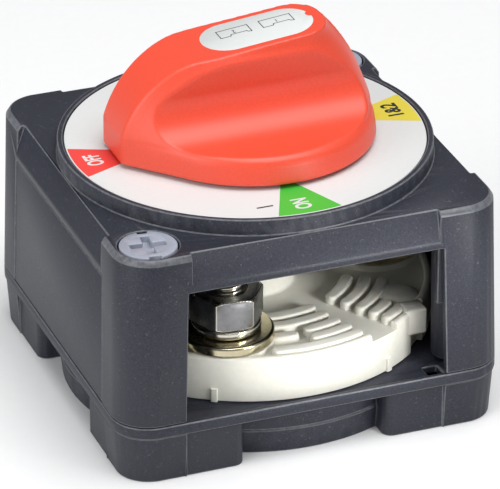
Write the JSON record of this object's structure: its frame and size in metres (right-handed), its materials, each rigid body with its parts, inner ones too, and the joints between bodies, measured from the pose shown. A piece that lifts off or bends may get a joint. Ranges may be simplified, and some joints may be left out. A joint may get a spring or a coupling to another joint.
{
  "type": "battery switch",
  "caption": "Square marine battery selector switch: turning knob over a marked dial, on a housing with clip-in side covers around a contact base with stud terminals.",
  "frame": {"origin": "centre of the underside of the base, on the knob's axis", "axes": "+Z along the knob's axis towards the knob; the open terminal window faces -Y; the pointer rests on OFF at -X"},
  "size_m": [0.104, 0.104, 0.0975],
  "materials": {
    "housing_nylon": "fine-grained glass-filled nylon, dark blue-grey",
    "knob_red": "satin red-orange moulding",
    "contact_base_white": "cream white moulding",
    "dial_white": "off-white printed plate",
    "screw_grey": "grey moulded screw",
    "nickel": "bright nickel plate",
    "copper": null,
    "spring_steel": "plain steel",
    "seal_rubber": "black nitrile",
    "rotor_black": "black moulding"
  },
  "bodies": {
    "body": {"base": "housing_nylon", "housing": "housing_nylon", "side_cover_left": "housing_nylon", "side_cover_rear": "housing_nylon", "side_cover_right": "housing_nylon", "dial_plate": "dial_white", "contact_base": "contact_base_white", "stud_1": "nickel", "stud_2": "nickel", "stud_common": "nickel", "nut_1": "nickel", "nut_2": "nickel", "nut_common": "nickel", "flat_washer_1": "nickel", "flat_washer_2": "nickel", "flat_washer_common": "nickel", "spring_washer_1": "nickel", "spring_washer_2": "nickel", "spring_washer_common": "nickel", "common_strap": "copper", "base_seal": "seal_rubber", "base_screw_1": "spring_steel", "base_screw_2": "spring_steel", "base_screw_3": "spring_steel"},
    "selector": {"knob": "knob_red", "knob_label": "dial_white", "knob_screw": "nickel", "spindle": "rotor_black", "spindle_seal": "seal_rubber", "rotor": "rotor_black", "moving_contact": "copper", "contact_spring_1": "spring_steel", "contact_spring_2": "spring_steel", "contact_spring_3": "spring_steel", "detent_spring_1": "spring_steel", "detent_spring_2": "spring_steel"},
    "detent_ball_1": {"detent_ball_1": "spring_steel"},
    "detent_ball_2": {"detent_ball_2": "spring_steel"},
    "cover_screw_1": {"cover_screw_1": "screw_grey"},
    "cover_screw_2": {"cover_screw_2": "screw_grey"}
  },
  "joints": [
    {"name": "selector_turn", "type": "hinge", "parent": "body", "child": "selector", "pos_m": [0, 0, 0], "axis": [0, 0, 1], "continuous": true},
    {"name": "detent_ball_1_slide", "type": "slide", "parent": "selector", "child": "detent_ball_1", "axis": [0, -1, 0], "range_m": [0, 0.0008], "stiffness_N_per_m": 400, "springref_m": -0.001, "deforming": ["detent_spring_1"]},
    {"name": "detent_ball_2_slide", "type": "slide", "parent": "selector", "child": "detent_ball_2", "axis": [0, 1, 0], "range_m": [0, 0.0008], "stiffness_N_per_m": 400, "springref_m": -0.001, "deforming": ["detent_spring_2"]},
    {"name": "cover_screw_1_turn", "type": "hinge", "parent": "body", "child": "cover_screw_1", "pos_m": [-0.0413, -0.0413, 0.058], "axis": [0, 0, 1], "range_deg": [0, 90]},
    {"name": "cover_screw_2_turn", "type": "hinge", "parent": "body", "child": "cover_screw_2", "pos_m": [0.0413, 0.0413, 0.058], "axis": [0, 0, 1], "range_deg": [0, 90]}
  ]
}
